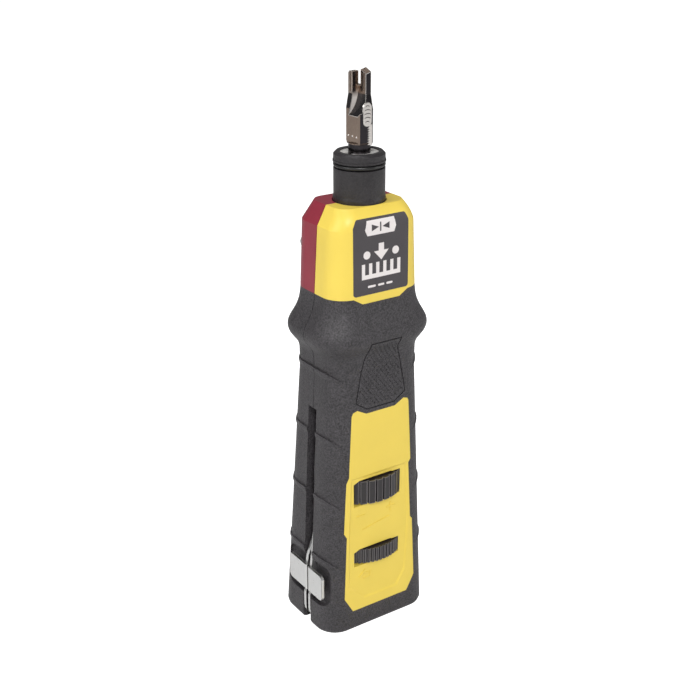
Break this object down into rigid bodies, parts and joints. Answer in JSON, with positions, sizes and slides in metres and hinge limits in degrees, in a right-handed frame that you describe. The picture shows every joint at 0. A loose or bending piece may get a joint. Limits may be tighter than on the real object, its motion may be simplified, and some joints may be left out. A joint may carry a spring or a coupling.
{
  "type": "punch down tool",
  "caption": "Impact punch down tool: two-part handle with soft grips, sprung nose with a twist-in blade, impact dial, spare blade store and fold-out hook and spudger.",
  "frame": {"origin": "on the tool axis in the plane of the sole, at the mouth of the spare blade store", "axes": "+Z along the tool axis towards the blade, -Y the front with the thumb wheels, -X the side with the folding tools"},
  "size_m": [0.0436, 0.0349, 0.1912],
  "materials": {
    "yellow_shell": "fine satin texture",
    "red_shell": "fine satin texture",
    "black_grip": "matt, lightly grained overmould",
    "dark_label": "satin inlay",
    "screw_steel": "zinc plated",
    "nylon": "natural nylon",
    "nylon_dark": "moulded nylon",
    "pin_steel": "ground",
    "spring_steel": "bright wire",
    "collar_black": "black, satin",
    "ring_rubber": "moulded rubber",
    "socket_steel": "turned",
    "blade_steel": "ground and polished, brownish sheen",
    "hammer_steel": "sintered steel, oiled",
    "wheel_black": "satin",
    "tool_steel": "satin nickel"
  },
  "bodies": {
    "housing": {"front_shell": "yellow_shell", "rear_shell": "red_shell", "front_grip": "black_grip", "rear_grip": "black_grip", "front_label": "dark_label", "housing_screws": "screw_steel", "nose_bushing": "nylon", "spare_blade_sleeve": "nylon_dark", "fold_pivot_pin": "pin_steel", "fold_washers": "pin_steel", "return_spring": "spring_steel"},
    "nose": {"nose_collar": "collar_black", "collar_o_ring": "ring_rubber", "blade_socket": "socket_steel", "blade_lock_ring": "spring_steel", "plunger_rod": "socket_steel"},
    "blade": {"blade": "blade_steel"},
    "hammer": {"hammer": "hammer_steel", "sear_spring": "spring_steel"},
    "sear": {"sear_plate": "hammer_steel"},
    "spring_seat": {"spring_seat": "nylon", "main_spring": "spring_steel"},
    "impact_dial": {"impact_dial": "wheel_black"},
    "store_lock": {"store_lock_wheel": "wheel_black"},
    "spare_blade": {"spare_blade": "blade_steel"},
    "hook": {"hook_tool": "tool_steel"},
    "spudger": {"spudger_tool": "tool_steel"}
  },
  "joints": [
    {"name": "nose_slide", "type": "slide", "parent": "housing", "child": "nose", "axis": [0, 0, -1], "range_m": [0, 0.01], "stiffness_N_per_m": 600, "springref_m": -0.012, "deforming": ["return_spring"]},
    {"name": "hammer_slide", "type": "slide", "parent": "housing", "child": "hammer", "axis": [0, 0, -1], "range_m": [0, 0.01], "deforming": ["main_spring"]},
    {"name": "sear_slide", "type": "slide", "parent": "hammer", "child": "sear", "axis": [-1, 0, 0], "range_m": [0, 0.0012], "stiffness_N_per_m": 200, "springref_m": -0.001, "deforming": ["sear_spring"]},
    {"name": "blade_twist", "type": "hinge", "parent": "nose", "child": "blade", "pos_m": [0, 0, 0.16], "axis": [0, 0, 1], "range_deg": [0, 90]},
    {"name": "dial_turn", "type": "hinge", "parent": "housing", "child": "impact_dial", "pos_m": [0, 0, 0.053], "axis": [0, 0, 1], "range_deg": [0, 270]},
    {"name": "seat_lift", "type": "slide", "parent": "housing", "child": "spring_seat", "axis": [0, 0, 1], "range_m": [0, 0.003]},
    {"name": "lock_turn", "type": "hinge", "parent": "housing", "child": "store_lock", "pos_m": [0, 0, 0.028], "axis": [0, 0, 1], "range_deg": [0, 90]},
    {"name": "spare_blade_slide", "type": "slide", "parent": "housing", "child": "spare_blade", "axis": [0, 0, -1], "range_m": [0, 0.045]},
    {"name": "hook_hinge", "type": "hinge", "parent": "housing", "child": "hook", "pos_m": [-0.0155, 0, 0.006], "axis": [0, -1, 0], "range_deg": [0, 180]},
    {"name": "spudger_hinge", "type": "hinge", "parent": "housing", "child": "spudger", "pos_m": [-0.0155, 0, 0.006], "axis": [0, -1, 0], "range_deg": [0, 180]}
  ],
  "couplings": [
    {"joint": "hammer_slide", "follows": "nose_slide", "ratio": 1},
    {"joint": "dial_turn", "follows": "seat_lift", "rad_per_m": 1570.7}
  ]
}
